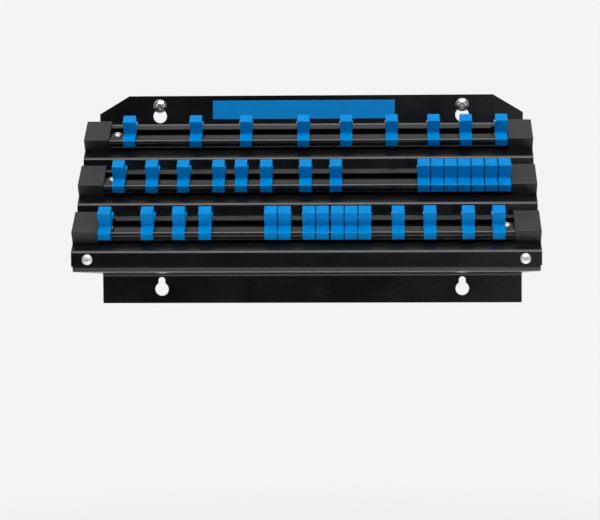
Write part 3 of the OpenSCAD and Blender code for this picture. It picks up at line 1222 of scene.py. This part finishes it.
@dataclass(frozen=True)
class Washer:
    """One size of washer, lower face at height 0, in metres.

    Its outer rim has material number 1, and the rest number 0, which on the rail washers takes a
    near-black painted shade.
    """

    outer_d: float
    bore_d: float
    thickness: float
    turns: int = 56
    edge: float = 0.25 * MM

    def build(self) -> BMesh:
        """The washer with rounded edges."""
        r, b, t, e = self.outer_d / 2, self.bore_d / 2, self.thickness, self.edge
        outline = [(b, 0.0), (r - e, 0.0), (r, e), (r, t - e), (r - e, t), (b + e, t), (b, t - e)]
        mesh = bmesh.new()
        lathe(mesh, outline + outline[:1], self.turns)
        bmesh.ops.recalc_face_normals(mesh, faces=mesh.faces[:])
        for face in mesh.faces:
            face.material_index = int(face.calc_center_median().xy.length > r - e)
        return mesh


@dataclass(frozen=True)
class FastenerSet:
    """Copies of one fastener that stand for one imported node."""

    node: str
    shape: PanScrew | HexNut | Washer
    places: list[Matrix]
    metals: list[bpy.types.Material]
    slot: Slot = Slot.ZINC

    def build(self, first_turn: float, turn: float) -> None:
        """Sets the copies at their places; nuts stay square, the others are turned.

        Args:
            first_turn: The first copy's angle about its own axis, in radians.
            turn: How much farther each next copy is turned.
        """
        one = self.shape.build()
        data = bpy.data.meshes.new(self.node + "_one")
        one.to_mesh(data)
        one.free()
        whole = bmesh.new()
        for number, place in enumerate(self.places):
            before = len(whole.verts)
            whole.from_mesh(data)
            whole.verts.ensure_lookup_table()
            angle = 0.0 if isinstance(self.shape, HexNut) else first_turn + turn * number
            matrix = place @ Matrix.Rotation(angle, 4, "Z")
            bmesh.ops.transform(whole, matrix=matrix, verts=whole.verts[before:])
        bpy.data.meshes.remove(data)
        to_piece(self.node + "_fitted", whole, self.metals, FRAME_BODY, self.node, 30.0)


@dataclass
class Fasteners:
    """All screws, washers and nuts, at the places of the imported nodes, in metres."""

    sheet: float = 1.5 * MM
    rail_screw_x: float = 152.4 * MM
    seat: float = 5.2 * MM
    corner_x: float = 165.5 * MM
    hanging_x: float = 127.0 * MM
    front_depth: float = 161.8 * MM
    set_turn: float = 0.7
    copy_turn: float = 1.9
    rail_screw: PanScrew = PanScrew(6.0 * MM, 2.2 * MM, 3.0 * MM, 11.1 * MM, 0.5 * MM)
    rail_washer: Washer = Washer(9.0 * MM, 3.2 * MM, 0.8 * MM)
    rail_nut: HexNut = HexNut(5.5 * MM, 2.4 * MM, 3.0 * MM)
    corner_screw: PanScrew = PanScrew(8.0 * MM, 2.8 * MM, 4.0 * MM, 10.0 * MM, 0.7 * MM)
    corner_nut: HexNut = HexNut(7.0 * MM, 3.2 * MM, 4.0 * MM)
    wall_screw: PanScrew = PanScrew(11.2 * MM, 3.4 * MM, 4.8 * MM, 21.5 * MM, 1.1 * MM, 64)

    def build(self, shelves: Shelves) -> None:
        """Builds and dresses every fastener.

        Args:
            shelves: Where the rails stand.
        """
        zinc, washer_shade, chrome = ZINC.material(), WASHER_PAINTED_SHADE.material(), CHROME.material()
        low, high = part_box("corner_screws")
        corner_z = (low.z + high.z) / 2
        rails = [
            shelves.place(row) @ Matrix.Translation((side.value * self.rail_screw_x, 0.0, 0.0))
            for row in Row
            for side in Side
        ]
        corners = self._facing(self.corner_x, -self.front_depth, corner_z)
        walls = self._facing(self.hanging_x, -self.sheet, 0.0)
        seats = self._raised(rails, self.seat)
        heads = self._raised(rails, self.seat + self.rail_washer.thickness)
        behind = self._raised(corners, -2 * self.sheet)
        sets = (
            FastenerSet("rail_screws", self.rail_screw, heads, [zinc]),
            # The washers' faces take the near-black painted shade, and their rims stay zinc.
            FastenerSet("rail_washers", self.rail_washer, seats, [washer_shade, zinc]),
            FastenerSet("rail_nuts", self.rail_nut, self._raised(rails, -self.sheet), [zinc]),
            FastenerSet("corner_screws", self.corner_screw, corners, [zinc]),
            FastenerSet("corner_nuts", self.corner_nut, behind, [zinc]),
            FastenerSet("wall_screws", self.wall_screw, walls, [chrome], Slot.CHROME),
        )
        for number, fasteners in enumerate(sets):
            fasteners.build(self.set_turn * number, self.copy_turn)

    @staticmethod
    def _facing(x: float, y: float, z: float) -> list[Matrix]:
        """Two even places with their axes to the viewer.

        Args:
            x: Distance of each from the middle.
            y: Place into the wall.
            z: Height.

        Returns:
            The left and the right place.
        """
        turned = Matrix.Rotation(math.pi / 2, 4, "X")
        return [Matrix.Translation((side.value * x, y, z)) @ turned for side in Side]

    @staticmethod
    def _raised(places: list[Matrix], height: float) -> list[Matrix]:
        """Places moved along their own axes."""
        return [place @ Matrix.Translation((0.0, 0.0, height)) for place in places]


# ---------------------------------------------------------------------- studio


@dataclass(frozen=True)
class SoftBox:
    """One soft area lamp, in metres and watts, aimed at the organizer's middle."""

    name: str
    place: Triple
    width: float
    height: float
    power: float
    aim: Triple = (0.0, -0.08, -0.06)

    def build(self) -> None:
        """Hangs the lamp."""
        data = bpy.data.lights.new(self.name, "AREA")
        data.shape = "RECTANGLE"
        data.size, data.size_y = self.width, self.height
        data.energy = self.power
        lamp = bpy.data.objects.new(self.name, data)
        bpy.context.scene.collection.objects.link(lamp)
        lamp.location = self.place
        way = Vector(self.aim) - Vector(self.place)
        lamp.rotation_euler = way.to_track_quat("-Z", "Y").to_euler()
        lamp.visible_camera = False


@dataclass
class Studio:
    """Camera, lamps, floor and surroundings."""

    focal_px: float = 1777.41
    sensor_mm: float = 36.0
    principal_px: tuple[float, float] = (305.38, 184.4)
    eye: Triple = (42.403 * MM, -1496.5 * MM, 15.794 * MM)
    forward: Triple = (-0.03161, 1.0, -0.05505)
    upward: Triple = (0.0042, 0.0564, 1.0)
    floor_z: float = -0.62
    floor_half: float = 1.35
    background: float = 0.90
    wall_side: float = 0.90
    camera_side: float = 0.03
    side_blur: float = 0.25
    view_range: Span = (0.05, 60.0)
    paper: StudioPaper = StudioPaper()
    boxes: tuple[SoftBox, ...] = (
        SoftBox("overhead_box", (0.10, -1.05, 1.55), 2.4, 1.2, 26.0),
        SoftBox("front_box", (0.15, -1.55, 1.50), 1.6, 0.7, 15.0),
        SoftBox("right_box", (0.60, -1.75, 0.05), 0.3, 0.9, 1.8, (0.1, -0.08, -0.06)),
        SoftBox("left_side_box", (-1.35, -1.20, 0.25), 0.45, 1.1, 1.5),
        SoftBox("right_side_box", (1.45, -1.10, 0.25), 0.45, 1.1, 1.5),
        SoftBox("bounce_board", (0.10, -0.42, -0.57), 1.2, 0.24, 1.0, (0.0, -0.16, -0.11)),
    )

    def build(self) -> None:
        """Builds the whole studio."""
        self._camera()
        self._floor()
        self._surroundings()
        for box in self.boxes:
            box.build()
        bpy.context.scene.view_settings.view_transform = "Standard"

    def _camera(self) -> None:
        """Sets the camera at the photograph's angle."""
        data = bpy.data.cameras.new("photo_camera")
        data.sensor_width = self.sensor_mm
        data.lens = self.focal_px * self.sensor_mm / PHOTO_WIDTH
        data.shift_x = (PHOTO_WIDTH / 2 - self.principal_px[0]) / PHOTO_WIDTH
        data.shift_y = (self.principal_px[1] - PHOTO_HEIGHT / 2) / PHOTO_WIDTH
        data.clip_start, data.clip_end = self.view_range
        camera = bpy.data.objects.new("photo_camera", data)
        bpy.context.scene.collection.objects.link(camera)
        ahead = Vector(self.forward).normalized()
        right = ahead.cross(Vector(self.upward)).normalized()
        up = right.cross(ahead)
        turn = Matrix((right, up, -ahead)).transposed().to_4x4()
        camera.matrix_world = Matrix.Translation(self.eye) @ turn
        bpy.context.scene.camera = camera

    def _floor(self) -> None:
        """Lays the pale floor below the organizer."""
        mesh = bmesh.new()
        bmesh.ops.create_grid(mesh, x_segments=1, y_segments=1, size=self.floor_half)
        bmesh.ops.translate(mesh, vec=(0.0, 0.0, self.floor_z), verts=mesh.verts[:])
        data = bpy.data.meshes.new("studio_floor")
        mesh.to_mesh(data)
        mesh.free()
        floor = new_object("studio_floor", data, [self.paper.material()])

    def _surroundings(self) -> None:
        """Makes the world: a white room that is dim on the camera's side.

        The camera sees plain white all round. Mirrored rays and light see the white
        on the wall's side, and the dim room on the camera's side.
        """
        room = Shader("studio_room", bpy.data.worlds.new("studio_room"))
        bpy.context.scene.world = room.owner
        direction = room.node("ShaderNodeTexCoord").outputs["Generated"]
        way = room.node("ShaderNodeSeparateXYZ", None, {0: direction})
        ramp = room.node(
            "ShaderNodeMapRange",
            {"interpolation_type": "SMOOTHSTEP"},
            {
                "Value": way.outputs["Y"],
                "From Min": -self.side_blur,
                "From Max": self.side_blur,
                "To Min": self.camera_side,
                "To Max": self.wall_side,
            },
        )
        seen = room.value(room.node("ShaderNodeLightPath"), "Is Camera Ray")
        level = room.value(ramp, "Result")
        strength = level + seen * (self.background - level)
        glow = room.node("ShaderNodeBackground", None, {"Color": WHITE, "Strength": strength})
        room.node("ShaderNodeOutputWorld", None, {"Surface": glow.outputs[0]})


def main() -> None:
    """Builds the organizer's pieces in order, then the studio."""
    logging.basicConfig(level=logging.INFO, format="%(name)s: %(message)s")
    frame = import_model()
    shelves = Shelves()
    SheetMetal().build(frame["nodes"])
    Rails().build(frame["nodes"])
    Clips().build(frame["nodes"], shelves)
    Fasteners().build(shelves)
    Studio().build()


if __name__ == "__main__":
    main()
